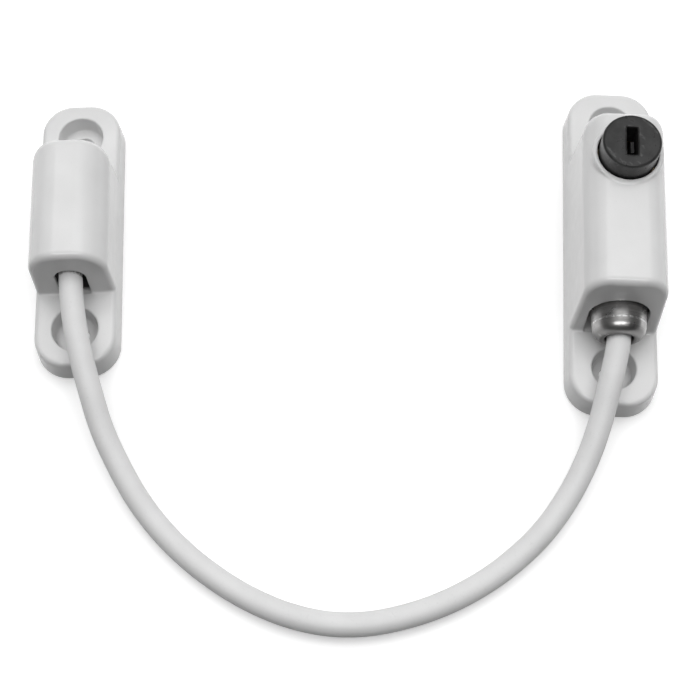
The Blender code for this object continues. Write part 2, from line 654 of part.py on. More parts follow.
def make_plug(frame, material):
    """Turned plug on the cable's end: a full-size body, a neck for the latch and a tip."""
    bore = CABLE_RADIUS + 0.5 * MM
    rope_bore = ROPE_RADIUS + GAP
    outline = [(0, 28.0 * MM), (rope_bore, 28.0 * MM), (rope_bore, SHEATH_IN_PLUG + GAP)]
    outline += [(bore, SHEATH_IN_PLUG + GAP), (bore, PLUG_START)]
    for step in range(6):
        angle = math.radians(90.0 * step / 5)
        radius = PLUG_RADIUS - PLUG_NOSE["inset"] * (1 - math.sin(angle))
        outline.append((radius, PLUG_START + PLUG_NOSE["length"] * (1 - math.cos(angle))))
    outline += [
        (PLUG_RADIUS, 30.6 * MM), (PLUG_TIP_RADIUS, 33.2 * MM), (PLUG_TIP_RADIUS, PLUG_NECK[0]),
        (PLUG_NECK_RADIUS, PLUG_NECK[0]), (PLUG_NECK_RADIUS, PLUG_NECK[1]),
        (PLUG_TIP_RADIUS, PLUG_NECK[1]), (PLUG_TIP_RADIUS, PLUG_TIP - 1.2 * MM),
        (PLUG_TIP_RADIUS - 0.4 * MM, PLUG_TIP - 0.4 * MM), (PLUG_TIP_RADIUS - 1.2 * MM, PLUG_TIP),
        (0, PLUG_TIP),
    ]
    finish(laid_along_y(turned(outline), CABLE_HEIGHT), "cable_plug", frame, material)


def make_rope_end(name, frame, material, low, high):
    """Stripped end of the steel rope, past the end of the sheath."""
    finish(laid_along_y(rod(ROPE_RADIUS, low, high, 16), CABLE_HEIGHT), name, frame, material)


def make_ferrule(frame, material):
    """Crimped sleeve that stops the cable from pulling out of the anchor."""
    bore = CABLE_RADIUS + 0.35 * MM
    rope_bore = ROPE_RADIUS + GAP
    step = SHEATH_IN_ANCHOR + GAP
    low, high = FERRULE
    outline = [
        (bore, low), (FERRULE_RADIUS - 0.4 * MM, low), (FERRULE_RADIUS, low + 0.4 * MM),
        (FERRULE_RADIUS, high - 0.4 * MM), (FERRULE_RADIUS - 0.4 * MM, high), (rope_bore, high),
        (rope_bore, step), (bore, step),
    ]
    finish(laid_along_y(turned(outline), CABLE_HEIGHT), "cable_end_ferrule", frame, material)


def make_swivel_washer(frame, material):
    """Washer between the ferrule and the wall of the anchor's cavity."""
    low = ANCHOR_CAVITY[0] + GAP
    high = FERRULE[0] - GAP
    ring = tube(CABLE_RADIUS + 0.35 * MM, 5.4 * MM, low, high)
    finish(laid_along_y(ring, CABLE_HEIGHT), "swivel_washer", frame, material)


def body_point(place, lean, along):
    """Point on a body's cable axis, in world coordinates."""
    x = place[0] - along * math.sin(lean)
    y = place[1] + along * math.cos(lean)
    return Vector((x, y, CABLE_HEIGHT))


def smooth_path(points, count):
    """Evenly spaced points on the Catmull-Rom curve through the given points."""
    fine = []
    padded = [2 * points[0] - points[1]] + points + [2 * points[-1] - points[-2]]
    for a, b, c, d in zip(padded, padded[1:], padded[2:], padded[3:]):
        for step in range(20):
            t = step / 20
            fine.append(0.5 * (
                2 * b + (c - a) * t + (2 * a - 5 * b + 4 * c - d) * t ** 2
                + (3 * b - a - 3 * c + d) * t ** 3))
    fine.append(points[-1])
    lengths = [0.0]
    for before, after in zip(fine, fine[1:]):
        lengths.append(lengths[-1] + (after - before).length)
    path = []
    index = 0
    for number in range(count):
        wanted = lengths[-1] * number / (count - 1)
        while index < len(fine) - 2 and lengths[index + 1] < wanted:
            index += 1
        share = (wanted - lengths[index]) / (lengths[index + 1] - lengths[index])
        path.append(fine[index].lerp(fine[index + 1], share))
    return path


def cable_path():
    """Centreline from the ferrule, through the anchor's mouth, to the plug's bore."""
    points = [
        body_point(ANCHOR_PLACE, ANCHOR_LEAN, SHEATH_IN_ANCHOR),
        body_point(ANCHOR_PLACE, ANCHOR_LEAN, 30.0 * MM),
        body_point(ANCHOR_PLACE, ANCHOR_LEAN, 24.5 * MM),
    ]
    points += [Vector((x * MM, y * MM, z * MM)) for x, y, z in CABLE_ROUTE]
    points += [
        body_point(LOCK_PLACE, 0.0, 13.5 * MM),
        body_point(LOCK_PLACE, 0.0, SHEATH_IN_PLUG),
    ]
    return smooth_path(points, CABLE_POINTS)


def make_cable(material):
    """The coated cable, as one tube along its centreline."""
    path = cable_path()
    curve = bpy.data.curves.new("cable", "CURVE")
    curve.dimensions = "3D"
    curve.bevel_depth = CABLE_RADIUS
    curve.bevel_resolution = 4
    curve.use_fill_caps = True
    spline = curve.splines.new("POLY")
    spline.points.add(len(path) - 1)
    for point, place in zip(spline.points, path):
        point.co = (*place, 1.0)
    curve.materials.append(material)
    cable = bpy.data.objects.new("cable", curve)
    bpy.context.scene.collection.objects.link(cable)


# ---------------------------------------------------------------- assembly

def make_lock(paint, zinc, steel):
    frame = place_frame("lock_frame", LOCK_PLACE, 0.0)
    make_lock_housing(frame, paint)
    make_back_cover("lock_back_cover", frame, zinc, LOCK_COVER, LOCK_COVER_SCREWS)
    make_cover_screws("lock_cover_screw", frame, steel, LOCK_COVER_SCREWS)
    make_catch(frame, zinc, steel)
    return frame


def make_lock_movement(zinc, steel, brass_metal):
    """The pieces on the button's axis, in a frame that stands on that axis."""
    place = (LOCK_PLACE[0], LOCK_PLACE[1] + BUTTON_Y)
    frame = place_frame("button_axis", place, 0.0)
    make_button(frame, grey_button())
    make_key_core(frame, brass_metal, steel)
    make_wave_washer(frame, steel)
    make_cam(frame, zinc, steel)
    make_carrier(frame, brass_metal)
    make_circlip(frame, steel)
    make_return_spring(frame, steel)
    make_latch_plate(frame, zinc)


def make_anchor(paint, zinc, steel):
    frame = place_frame("anchor_frame", ANCHOR_PLACE, ANCHOR_LEAN)
    make_anchor_housing(frame, paint)
    make_back_cover("anchor_back_cover", frame, zinc, ANCHOR_COVER, ANCHOR_COVER_SCREWS)
    make_cover_screws("anchor_cover_screw", frame, steel, ANCHOR_COVER_SCREWS)
    make_swivel_washer(frame, zinc)
    return frame


def build():
    clear_scene()
    paint = white_gloss_paint()
    zinc = zinc_plate()
    steel = spring_steel()
    plug_steel = turned_steel()
    lock = make_lock(paint, zinc, steel)
    make_lock_movement(zinc, steel, brass())
    anchor = make_anchor(paint, zinc, steel)
    make_plug(lock, plug_steel)
    make_rope_end("rope_end_in_plug", lock, steel, SHEATH_IN_PLUG + GAP, 27.6 * MM)
    make_ferrule(anchor, plug_steel)
    make_rope_end("rope_end_in_anchor", anchor, steel, SHEATH_IN_ANCHOR + GAP, 39.3 * MM)
    make_cable(white_cable_sheath())


build()
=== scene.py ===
"""Looks of the window restrictor cable: fine meshes, materials, lights and camera round its frame.

Castings, the button and other pieces with soft edges are described as distance functions, in
millimetres in their body's own frame (x across, y along the body from its lower end, z up from its
back), and meshed on a grid. Everything that is placed in the world is in metres.
"""
import json
import math
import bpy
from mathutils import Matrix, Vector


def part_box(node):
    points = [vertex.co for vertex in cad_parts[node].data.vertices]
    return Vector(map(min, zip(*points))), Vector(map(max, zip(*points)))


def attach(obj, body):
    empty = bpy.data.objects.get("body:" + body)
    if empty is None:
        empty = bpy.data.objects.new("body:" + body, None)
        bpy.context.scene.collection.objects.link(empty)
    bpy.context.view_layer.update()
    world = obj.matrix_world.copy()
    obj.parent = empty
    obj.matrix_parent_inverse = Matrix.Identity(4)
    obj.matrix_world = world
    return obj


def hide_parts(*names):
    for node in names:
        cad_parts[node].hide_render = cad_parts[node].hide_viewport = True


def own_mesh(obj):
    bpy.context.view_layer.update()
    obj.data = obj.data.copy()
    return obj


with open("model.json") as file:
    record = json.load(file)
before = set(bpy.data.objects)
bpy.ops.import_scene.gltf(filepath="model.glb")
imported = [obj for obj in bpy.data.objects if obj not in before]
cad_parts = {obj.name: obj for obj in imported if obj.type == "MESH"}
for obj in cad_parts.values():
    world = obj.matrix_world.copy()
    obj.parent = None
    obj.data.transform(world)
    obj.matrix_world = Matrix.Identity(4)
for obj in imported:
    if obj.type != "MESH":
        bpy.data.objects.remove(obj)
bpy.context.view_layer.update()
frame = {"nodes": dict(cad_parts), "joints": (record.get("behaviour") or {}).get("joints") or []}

from types import SimpleNamespace

import bmesh
import bpy
import numpy as np
from mathutils import Matrix, Vector

MM = 0.001
JOINTS = {joint["name"]: joint for joint in frame["joints"]}

# Grid pitches in millimetres, and the share of a meshed piece's faces that is kept.
CASTING_PITCH = 0.27
FINE_PITCH = 0.14
SCREW_PITCH = 0.07
KEPT_FACES = 0.42

# Sizes shared by both castings.
PLATE_THICKNESS = 6.8
PLATE_DRAFT = 0.45
PLATE_END_RADIUS = 7.2
PLATE_EDGE_RADIUS = 1.0
FOOT_FILLET = 0.7
LOWER_CORNER = 1.2
UPPER_CORNER = 4.4
END_ROUNDING = 1.5
RIM_EDGE = 0.3
SEAT_HEIGHT = 2.2
COUNTERBORE_DRAFT = 0.35
SCREW_HOLE_RADIUS = 2.4
COVER_HEIGHTS = (0.3, 1.5)
COVER_GAP = 0.3

LOCK = SimpleNamespace(
    width=19.5, length=75.9, front=27.7, block=(17.0, 60.3), side=0.95, lower=1.9, upper=1.9,
    holes=(8.65, 67.25), rim=4.7, recess=(7.7, (28.0, 62.0), 3.3), cover_screws=(30.2, 60.2),
    rounding=(4.8, 6.2))
ANCHOR = SimpleNamespace(
    width=18.1, length=63.9, front=22.8, block=(17.2, 47.7), side=0.5, lower=0.9, upper=1.6,
    holes=(8.8, 55.15), rim=4.95, recess=(6.9, (21.0, 48.6), 2.8), cover_screws=(24.2, 46.2),
    rounding=(6.2, 7.0))

# Button, key core and their bore. The heights are those at rest, with the button out.
BUTTON_Y = 48.5
BUTTON_RADIUS = 6.1
BUTTON_FACE = 32.7
BUTTON_BASE = 26.7
BUTTON_BORE = 6.4
COLLAR_RADIUS = 7.4
COLLAR_TOP = 27.95
KEY_SLOT = (2.3, 6.4)

# Return spring: its seat, the radii of its coil and its wire, its turns, and the share of them that
# lies flat at either end.
SPRING_SEAT = 15.5
SPRING_RADIUS = 5.55
SPRING_WIRE = 0.35
SPRING_TURNS = 5.5
SPRING_FLAT = 0.13

# Hollows of the castings: half width, range along the body, range of heights.
CAM_CAVITY = (7.2, (35.0, 55.7), (1.0, 14.0))
CATCH_CAVITY = (7.2, (50.0, 58.5), (1.0, 9.4))
LEG_CAVITY = (6.1, (35.4, 38.6), (1.0, 22.2))
SWIVEL_CAVITY = (6.2, (28.0, 43.5), (1.0, 19.0))
CAVITY_CORNER = 1.5

# Plug and its socket. The mouth is a radius and a height; the nose is a length and how far it draws in.
SOCKET_RADIUS = 6.6
SOCKET_MOUTH = (6.35, 13.9)
SOCKET_END = 33.9
PLUG_RADIUS = 5.9
PLUG_START = 12.4
PLUG_NOSE = (3.1, 2.2)
PLUG_SHOULDER = 5.68
PLUG_TIP = 40.9
PLUG_NECK = (35.7, 38.2)
ROPE_HOLE = (1.8, 28.0)
SHEATH_IN_PLUG = 20.2

# Cable, and its end in the anchor.
CABLE_HEIGHT = 13.3
CABLE_RADIUS = 2.5
ARCH_RADIUS = 3.3
ANCHOR_MOUTH = 17.9
SHEATH_IN_ANCHOR = 35.7
CABLE_ROUTE = [
    (-56.44, -16.05, 13.3), (-55.45, -22.3, 13.25), (-53.9, -28.9, 12.8), (-52.25, -34.5, 11.9),
    (-50.0, -40.9, 10.1), (-47.3, -47.9, 7.5), (-43.8, -54.4, 5.2), (-39.1, -61.5, 3.6),
    (-33.7, -67.7, 2.85), (-27.6, -73.1, 2.6), (-20.9, -77.7, 2.6), (-13.8, -81.4, 2.6),
    (-6.1, -84.1, 2.6), (2.0, -85.4, 2.6), (10.0, -84.95, 2.6), (18.0, -82.9, 2.6),
    (25.5, -79.8, 2.6), (32.6, -75.6, 2.6), (39.1, -70.4, 2.75), (44.9, -64.3, 3.3),
    (49.6, -57.3, 4.3), (53.2, -49.9, 6.0), (55.65, -42.5, 8.5), (57.3, -35.0, 11.2),
    (58.5, -29.0, 12.8),
]

# Brightness of the surroundings: from, to (-1 in front, 1 behind) and the two strengths.
WORLD_RAMP = (-0.60, 0.15, 0.07, 0.73)
WORLD_IN_REFLECTIONS = 0.10


# ---------------------------------------------------------------- places, from the frame

def lock_matrix():
    """From the lock's own frame, in millimetres, to the world."""
    low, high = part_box("lock_housing")
    return Matrix.Translation(((low.x + high.x) / 2, low.y, 0.0)) @ Matrix.Scale(MM, 4)


def anchor_matrix():
    """From the anchor's own frame, in millimetres, to the world: its swivel is its cable's axis."""
    place = JOINTS["anchor_swivel"]["pos_m"]
    axis = JOINTS["anchor_swivel"]["axis"]
    lean = math.atan2(-axis[0], axis[1])
    turn = Matrix.Rotation(lean, 4, "Z")
    return Matrix.Translation((place[0], place[1], 0.0)) @ turn @ Matrix.Scale(MM, 4)


LOCK_FRAME = lock_matrix()
ANCHOR_FRAME = anchor_matrix()


# ---------------------------------------------------------------- distance functions

def both(a, b, radius=0.0):
    """Where two shapes overlap, with the convex edge rounded."""
    edge = np.hypot(np.maximum(a + radius, 0), np.maximum(b + radius, 0))
    return np.minimum(np.maximum(a, b), -radius) + edge


def either(a, b, radius):
    """Two shapes joined, with the concave edge filleted."""
    edge = np.hypot(np.maximum(radius - a, 0), np.maximum(radius - b, 0))
    return np.maximum(np.minimum(a, b), radius) - edge


def without(a, b, radius=0.0):
    """The first shape with the second cut out, with the rim of the cut rounded."""
    return both(a, -b, radius)


def disc(u, v, radius):
    return np.hypot(u, v) - radius


def between(w, low, high):
    return np.abs(w - (low + high) / 2) - (high - low) / 2


def rectangle(u, v, u_range, v_range, corner=0.0):
    """Plan distance to a rectangle with round corners."""
    over_u = between(u, *u_range) + corner
    over_v = between(v, *v_range) + corner
    outside = np.hypot(np.maximum(over_u, 0), np.maximum(over_v, 0))
    return outside + np.minimum(np.maximum(over_u, over_v), 0) - corner


# ---------------------------------------------------------------- meshing a distance function

def cell_corners():
    return [(i, j, k) for i in (0, 1) for j in (0, 1) for k in (0, 1)]


def surface_net(shape, low, high, pitch):
    """Points and quads of the surface where a distance function is zero."""
    axes = [np.arange(a, b + pitch, pitch) for a, b in zip(low, high)]
    field = shape(*np.meshgrid(*axes, indexing="ij", sparse=True))
    inside = field < 0
    cells = tuple(n - 1 for n in field.shape)

    def corner(values, offset):
        return values[tuple(slice(o, o + n) for o, n in zip(offset, cells))]

    count = sum(corner(inside, offset).astype(np.int8) for offset in cell_corners())
    mixed = (count > 0) & (count < 8)
    where = np.argwhere(mixed)
    number = np.full(cells, -1)
    number[mixed] = np.arange(len(where))

    total = np.zeros((len(where), 3))
    hits = np.zeros(len(where))
    for start in cell_corners():
        for axis in range(3):
            if start[axis] == 1:
                continue
            end = tuple(1 if n == axis else s for n, s in enumerate(start))
            first = corner(field, start)[mixed]
            second = corner(field, end)[mixed]
            crossed = (first < 0) != (second < 0)
            share = np.where(crossed, first / np.where(crossed, first - second, 1), 0)
            place = np.array(start) + share[:, None] * np.eye(3)[axis]
            total += np.where(crossed[:, None], place, 0)
            hits += crossed
    points = np.array([a[0] for a in axes]) + pitch * (where + total / hits[:, None])

    quads = []
    for axis in range(3):
        side, up = (axis + 1) % 3, (axis + 2) % 3
        here = tuple(slice(0, -1) if n == axis else slice(1, -1) for n in range(3))
        there = tuple(slice(1, None) if n == axis else slice(1, -1) for n in range(3))
        leaving = inside[here] & ~inside[there]
        entering = ~inside[here] & inside[there]
        for crossing, order in ((leaving, (0, 1, 2, 3)), (entering, (3, 2, 1, 0))):
            edges = np.argwhere(crossing)
            edges[:, side] += 1
            edges[:, up] += 1
            ring = []
            for back_side, back_up in ((1, 1), (0, 1), (0, 0), (1, 0)):
                cell = edges.copy()
                cell[:, side] -= back_side
                cell[:, up] -= back_up
                ring.append(number[tuple(cell.T)])
            quads.append(np.stack([ring[n] for n in order], axis=1))
    return points, np.concatenate(quads)


def settle(points, shape, pitch):
    """Move points onto the exact surface, along the distance function's gradient."""
    step = 0.02 * pitch
    for _ in range(4):
        value = shape(*points.T)
        gradient = np.stack([
            (shape(*(points + offset).T) - shape(*(points - offset).T)) / (2 * step)
            for offset in step * np.eye(3)], axis=1)
        size = np.maximum((gradient ** 2).sum(axis=1), 0.05)
        move = -(value / size)[:, None] * gradient
        reach = np.linalg.norm(move, axis=1, keepdims=True)
        points = points + move * np.minimum(1, 0.5 * pitch / np.maximum(reach, 1e-9))
    return points


def sculpt(name, shape, low, high, pitch, place, material, shade_region=None):
    """A piece meshed from its distance function, thinned where it is flat."""
    points, quads = surface_net(shape, low, high, pitch)
    points = settle(points, shape, pitch)
    mesh = bpy.data.meshes.new(name)
    mesh.from_pydata(points.tolist(), [], quads.tolist())
    # Mask of painted shade: the paint is drawn near black inside the openings.
    if shade_region is not None:
        interior_shade = mesh.attributes.new("interior_shade", "FLOAT", "POINT")
        interior_shade.data.foreach_set("value", np.clip(0.5 - shade_region(*points.T) / 0.3, 0, 1))
    mesh.transform(place)
    piece = add_piece(name, mesh, material)
    thin = piece.modifiers.new("thin", "DECIMATE")
    thin.ratio = KEPT_FACES
    even = piece.modifiers.new("even", "WEIGHTED_NORMAL")
    even.weight = 80
    return piece


def add_piece(name, mesh, material):
    piece = bpy.data.objects.new(name, mesh)
    bpy.context.scene.collection.objects.link(piece)
    mesh.materials.append(material)
    mesh.shade_smooth()
    return piece


# ---------------------------------------------------------------- castings

def plate_shape(x, y, z, body):
    """Base plate with round ends and drafted sides."""
    half = body.width / 2
    side = rectangle(x, y, (-half, half), (0, body.length), PLATE_END_RADIUS)
    side = side + PLATE_DRAFT * z / PLATE_THICKNESS
    plate = both(side, z - PLATE_THICKNESS, PLATE_EDGE_RADIUS)
    return both(plate, -z, 0.25)


def block_shape(x, y, z, body):
    """Tapered block on the plate: broad roundings along its front, narrow ones at its ends."""
    inset, depth = body.rounding
    rise = np.maximum(z - PLATE_THICKNESS, 0) / (body.front - PLATE_THICKNESS)
    drafted = PLATE_DRAFT * np.minimum(z / PLATE_THICKNESS, 1)
    side = np.abs(x) - (body.width / 2 - drafted - body.side * rise)
    profile = both(side * depth / inset, z - body.front, depth)
    down = np.clip((body.front - z) / depth, 0, 1)
    low_end = body.block[0] + body.lower * rise - y
    high_end = y - (body.block[1] - body.upper * rise)
    block = both(profile, low_end, END_ROUNDING + (LOWER_CORNER - END_ROUNDING) * down)
    block = both(block, high_end, END_ROUNDING + (UPPER_CORNER - END_ROUNDING) * down)
    return np.maximum(block, 3.0 - z)


def bare_casting(x, y, z, body):
    """Plate and block, with a fillet at the block's feet that fades out at the plate's edges."""
    from_edge = body.width / 2 - PLATE_DRAFT - np.abs(x)
    fillet = FOOT_FILLET * np.clip(from_edge / 1.2, 0, 1)
    return either(plate_shape(x, y, z, body), block_shape(x, y, z, body), fillet)


def counterbore(x, y, z, body, place):
    """Tapered counterbore over a flat seat."""
    widening = COUNTERBORE_DRAFT / (PLATE_THICKNESS - SEAT_HEIGHT)
    cone = disc(x, y - place, body.rim + widening * (z - PLATE_THICKNESS))
    return both(cone, SEAT_HEIGHT - z, 0.5)


def drilled(shape, x, y, z, body):
    """The casting with its screw holes and the recess for its back cover."""
    for place in body.holes:
        shape = without(shape, counterbore(x, y, z, body, place), RIM_EDGE)
        shape = without(shape, disc(x, y - place, SCREW_HOLE_RADIUS), 0.2)
    half, y_range, corner = body.recess
    recess = both(rectangle(x, y, (-half, half), y_range, corner), z - 1.8, 0.2)
    shape = without(shape, recess, 0.2)
    for place in body.cover_screws:
        shape = without(shape, both(disc(x, y - place, 1.1), between(z, 1.0, 5.2)))
    return shape


def door(x, y, z, radius, axis_height, body):
    """Tunnel through a block's lower end: a half-round roof, straight sides and a flat floor."""
    roof = disc(x, z - axis_height, radius)
    walls = rectangle(x, z, (-radius, radius), (PLATE_THICKNESS - 0.3, axis_height))
    return both(np.minimum(roof, walls), between(y, body.block[0] - 0.3, body.block[0] + 5.5))


def hollow(x, y, z, cavity, corner=0.0):
    half, y_range, heights = cavity
    return both(rectangle(x, y, (-half, half), y_range, corner), between(z, *heights))


def lock_inside(x, y, z):
    """The hollows behind the lock's mouths."""
    shaft = disc(x, y - BUTTON_Y, 5.2)
    along = disc(x, z - CABLE_HEIGHT, 1.0)
    hollows = [
        both(shaft, between(z, 13.0, SPRING_SEAT + 0.1)),
        hollow(x, y, z, CAM_CAVITY, CAVITY_CORNER),
        hollow(x, y, z, CATCH_CAVITY, CAVITY_CORNER),
        hollow(x, y, z, LEG_CAVITY),
        both(along - 2.9, between(y, 33.0, 41.5)),
    ]
    for side in (-4.5, 4.5):
        hollows.append(both(disc(x - side, y - 57.0, 1.05), between(z, 9.1, 13.5)))
    return np.minimum.reduce(np.broadcast_arrays(*hollows))


def lock_shape(x, y, z):
    shape = bare_casting(x, y, z, LOCK)
    collar = both(disc(x, y - BUTTON_Y, COLLAR_RADIUS), z - COLLAR_TOP, 0.3)
    shape = either(shape, np.maximum(collar, SPRING_SEAT - z), 0.35)
    shape = drilled(shape, x, y, z, LOCK)
    bore = both(disc(x, y - BUTTON_Y, BUTTON_BORE), SPRING_SEAT - z)
    shape = without(shape, bore, 0.2)
    shape = without(shape, door(x, y, z, *SOCKET_MOUTH, LOCK), 0.2)
    socket = both(disc(x, z - CABLE_HEIGHT, SOCKET_RADIUS), between(y, 20.0, SOCKET_END))
    shape = without(shape, socket)
    return without(shape, lock_inside(x, y, z))


def anchor_shape(x, y, z):
    shape = bare_casting(x, y, z, ANCHOR)
    shape = drilled(shape, x, y, z, ANCHOR)
    shape = without(shape, door(x, y, z, ARCH_RADIUS, CABLE_HEIGHT, ANCHOR), 0.2)
    bore = both(disc(x, z - CABLE_HEIGHT, ARCH_RADIUS), between(y, 18.0, 29.0))
    return without(without(shape, bore), hollow(x, y, z, SWIVEL_CAVITY, CAVITY_CORNER))


def lock_interior_shade(x, y, z):
    """Region painted near black as painted shade: inside the socket and the button's bore."""
    tunnel = both(disc(x, z - SOCKET_MOUTH[1], 7.2), between(y, LOCK.block[0] + 1.9, 42.0))
    bore = both(disc(x, y - BUTTON_Y, BUTTON_BORE + 0.1), z - COLLAR_TOP + 0.7)
    return np.minimum(tunnel, bore)


def anchor_interior_shade(x, y, z):
    """Region painted near black as painted shade: inside the cable's doorway."""
    half = ARCH_RADIUS + 0.4
    inside = rectangle(x, z, (-half, half), (6.0, CABLE_HEIGHT + half))
    return both(inside, between(y, ANCHOR.block[0] + 0.9, 42.0))


def make_castings(paint):
    for name, shape, shade_region, body, place, rides in (
            ("lock_casting", lock_shape, lock_interior_shade, LOCK, LOCK_FRAME, "lock_body"),
            ("anchor_casting", anchor_shape, anchor_interior_shade, ANCHOR, ANCHOR_FRAME, "anchor_body")):
        margin = 2 * CASTING_PITCH
        low = (-body.width / 2 - margin, -margin, -margin)
        high = (body.width / 2 + margin, body.length + margin, body.front + 0.3 + margin)
        casting = sculpt(name, shape, low, high, CASTING_PITCH, place, paint, shade_region)
        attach(casting, rides)
        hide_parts(name.replace("casting", "housing"))


def cover_shape(x, y, z, body):
    """Pressed cover with a shallow dished middle and countersunk holes."""
    half, y_range, corner = body.recess
    low, high = y_range[0] + COVER_GAP, y_range[1] - COVER_GAP
    outline = rectangle(x, y, (COVER_GAP - half, half - COVER_GAP), (low, high), corner - COVER_GAP)
    cover = both(outline, between(z, *COVER_HEIGHTS), 0.2)
    dish = both(rectangle(x, y, (-half + 2.4, half - 2.4), (low + 5.0, high - 5.0), 1.5), z - 0.6, 0.2)
    cover = without(cover, dish, 0.15)
    for place in body.cover_screws:
        radial = np.hypot(x, y - place)
        cover = np.maximum(cover, -np.minimum(radial - 1.05, 0.7 * (radial + z - 2.4)))
    return cover


def screw_shape(x, y, z):
    """Countersunk screw with a slotted head; x and y are from its own axis."""
    radial = np.hypot(x, y)
    thread = 0.06 * np.cos(2 * math.pi * z / 0.5 + np.arctan2(y, x))
    head = both(0.75 * (radial - 2.05 + z), between(z, 0.3, 1.2), 0.05)
    shank = both(radial - 0.72 - thread, between(z, 0.6, 4.8))
    slot = both(np.abs(y) - 0.22, z - 0.65)
    return without(np.minimum(head, shank), slot, 0.05)


def make_backs(zinc, steel):
    for prefix, body, place, rides in (
            ("lock", LOCK, LOCK_FRAME, "lock_body"), ("anchor", ANCHOR, ANCHOR_FRAME, "anchor_body")):
        half, (low, high), _ = body.recess
        cover = sculpt(
            f"{prefix}_cover", lambda x, y, z, body=body: cover_shape(x, y, z, body),
            (-half, low, 0.0), (half, high, 1.8), FINE_PITCH, place, zinc)
        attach(cover, rides)
        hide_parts(f"{prefix}_back_cover")
        for number, along in enumerate(body.cover_screws, start=1):
            screw = sculpt(
                f"{prefix}_screw_{number}", screw_shape, (-2.1, -2.1, 0.0), (2.1, 2.1, 5.1),
                SCREW_PITCH, place @ Matrix.Translation((0, along, 0)), steel)
            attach(screw, rides)
            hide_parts(f"{prefix}_cover_screw_{number}")


# ---------------------------------------------------------------- button

def button_shape(x, y, z):
    """Round button with a soft front edge and a bevelled key slot; y is from its own axis."""
    radial = disc(x, y, BUTTON_RADIUS)
    button = both(radial, z - BUTTON_FACE, 0.6)
    button = both(button, BUTTON_BASE - z, 0.3)
    lip = 0.25 * np.clip(1 - (BUTTON_FACE - z) / 0.25, 0, 1)
    half_x = KEY_SLOT[0] / 2
    half_y = KEY_SLOT[1] / 2
    slot = rectangle(x, y, (-half_x, half_x), (-half_y, half_y), 0.25) - lip
    return without(button, slot, 0.08)


def make_button(plastic):
    place = LOCK_FRAME @ Matrix.Translation((0, BUTTON_Y, 0))
    reach = BUTTON_RADIUS + 0.3
    button = sculpt(
        "button_cap", button_shape, (-reach, -reach, BUTTON_BASE - 0.3), (reach, reach, BUTTON_FACE + 0.3),
        FINE_PITCH, place, plastic)
    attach(button, "key_core")
    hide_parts("push_button")


def ward_shape(x, y, z):
    """Upright blade in the key slot, a little off its middle, with a sloping top."""
    blade = rectangle(x - 0.3, y + 0.35, (-0.36, 0.36), (-1.3, 1.3), 0.08)
    top = z - (BUTTON_FACE - 2.2) - 0.35 * (x - 0.3)
    return both(both(blade, top, 0.1), 16.8 - z)


def make_ward(steel):
    place = LOCK_FRAME @ Matrix.Translation((0, BUTTON_Y, 0))
    ward = sculpt(
        "key_ward", ward_shape, (-0.7, -2.0, 16.5), (1.0, 1.3, 31.0), SCREW_PITCH, place, steel)
    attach(ward, "key_core")
    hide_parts("keyway_ward")


# ---------------------------------------------------------------- turned pieces

def lathe(name, outline, place, material, steps=128):
    """Solid of revolution about the local Z axis from a closed outline of (radius, height)."""
    bm = bmesh.new()
    verts = [bm.verts.new((radius, 0.0, height)) for radius, height in outline]
    edges = [bm.edges.new((verts[i - 1], verts[i])) for i in range(len(verts))]
    on_axis = [e for e in edges if all(abs(v.co.x) < 1e-6 for v in e.verts)]
    bmesh.ops.delete(bm, geom=on_axis, context="EDGES_FACES")
    bmesh.ops.spin(
        bm, geom=bm.verts[:] + bm.edges[:], cent=(0, 0, 0), axis=(0, 0, 1),
        angle=2 * math.pi, steps=steps, use_merge=True)
    bmesh.ops.remove_doubles(bm, verts=bm.verts, dist=1e-4)
    bmesh.ops.recalc_face_normals(bm, faces=bm.faces)
    mesh = bpy.data.meshes.new(name)
    bm.to_mesh(mesh)
    bm.free()
    mesh.transform(place)
    piece = add_piece(name, mesh, material)
    mesh.set_sharp_from_angle(angle=math.radians(40))
    return piece


def coil(low, high, around=12, steps=260):
    """Coiled wire about the local Z axis, with a flat turn at either end."""
    bm = bmesh.new()
    rings = []
    for share in np.linspace(0, 1, steps):
        turn = 2 * math.pi * SPRING_TURNS * share
        height = low + (high - low) * np.clip((share - SPRING_FLAT) / (1 - 2 * SPRING_FLAT), 0, 1)
        ring = []
        for angle in np.arange(around) * 2 * math.pi / around:
            reach = SPRING_RADIUS + SPRING_WIRE * math.cos(angle)
            rise = height + SPRING_WIRE * math.sin(angle)
            ring.append(bm.verts.new((reach * math.cos(turn), reach * math.sin(turn), rise)))
        rings.append(ring)
    for near, far in zip(rings, rings[1:]):
        for j in range(around):
            bm.faces.new((near[j - 1], near[j], far[j], far[j - 1]))
    bm.faces.new(rings[0])
    bm.faces.new(rings[-1])
    bmesh.ops.recalc_face_normals(bm, faces=bm.faces)
    return bm


def make_spring(steel):
    """Return spring, standing on the lock body."""
    lowest, highest = (Vector(corner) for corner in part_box("return_spring"))
    mesh = bpy.data.meshes.new("coil_spring")
    bm = coil(lowest.z / MM + SPRING_WIRE, highest.z / MM - SPRING_WIRE)
    bm.to_mesh(mesh)
    bm.free()
    mesh.transform(LOCK_FRAME @ Matrix.Translation((0, BUTTON_Y, 0)))
    spring = add_piece("coil_spring", mesh, steel)
    mesh.set_sharp_from_angle(angle=math.radians(60))
    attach(spring, "lock_body")
    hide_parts("return_spring")
    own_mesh(spring)


def quarter(centre, radius, start, steps=8):
    """Points of a quarter circle in an outline, from the start angle, in degrees, anticlockwise."""
    points = []
    for step in range(steps + 1):
        angle = math.radians(start + 90 * step / steps)
        points.append((centre[0] + radius * math.cos(angle), centre[1] + radius * math.sin(angle)))
    return points


def along_cable(frame_matrix):
    """Turn a lathe's Z axis onto a body's cable axis."""
    lift = Matrix.Translation((0, 0, CABLE_HEIGHT))
    return frame_matrix @ lift @ Matrix.Rotation(math.radians(-90), 4, "X")


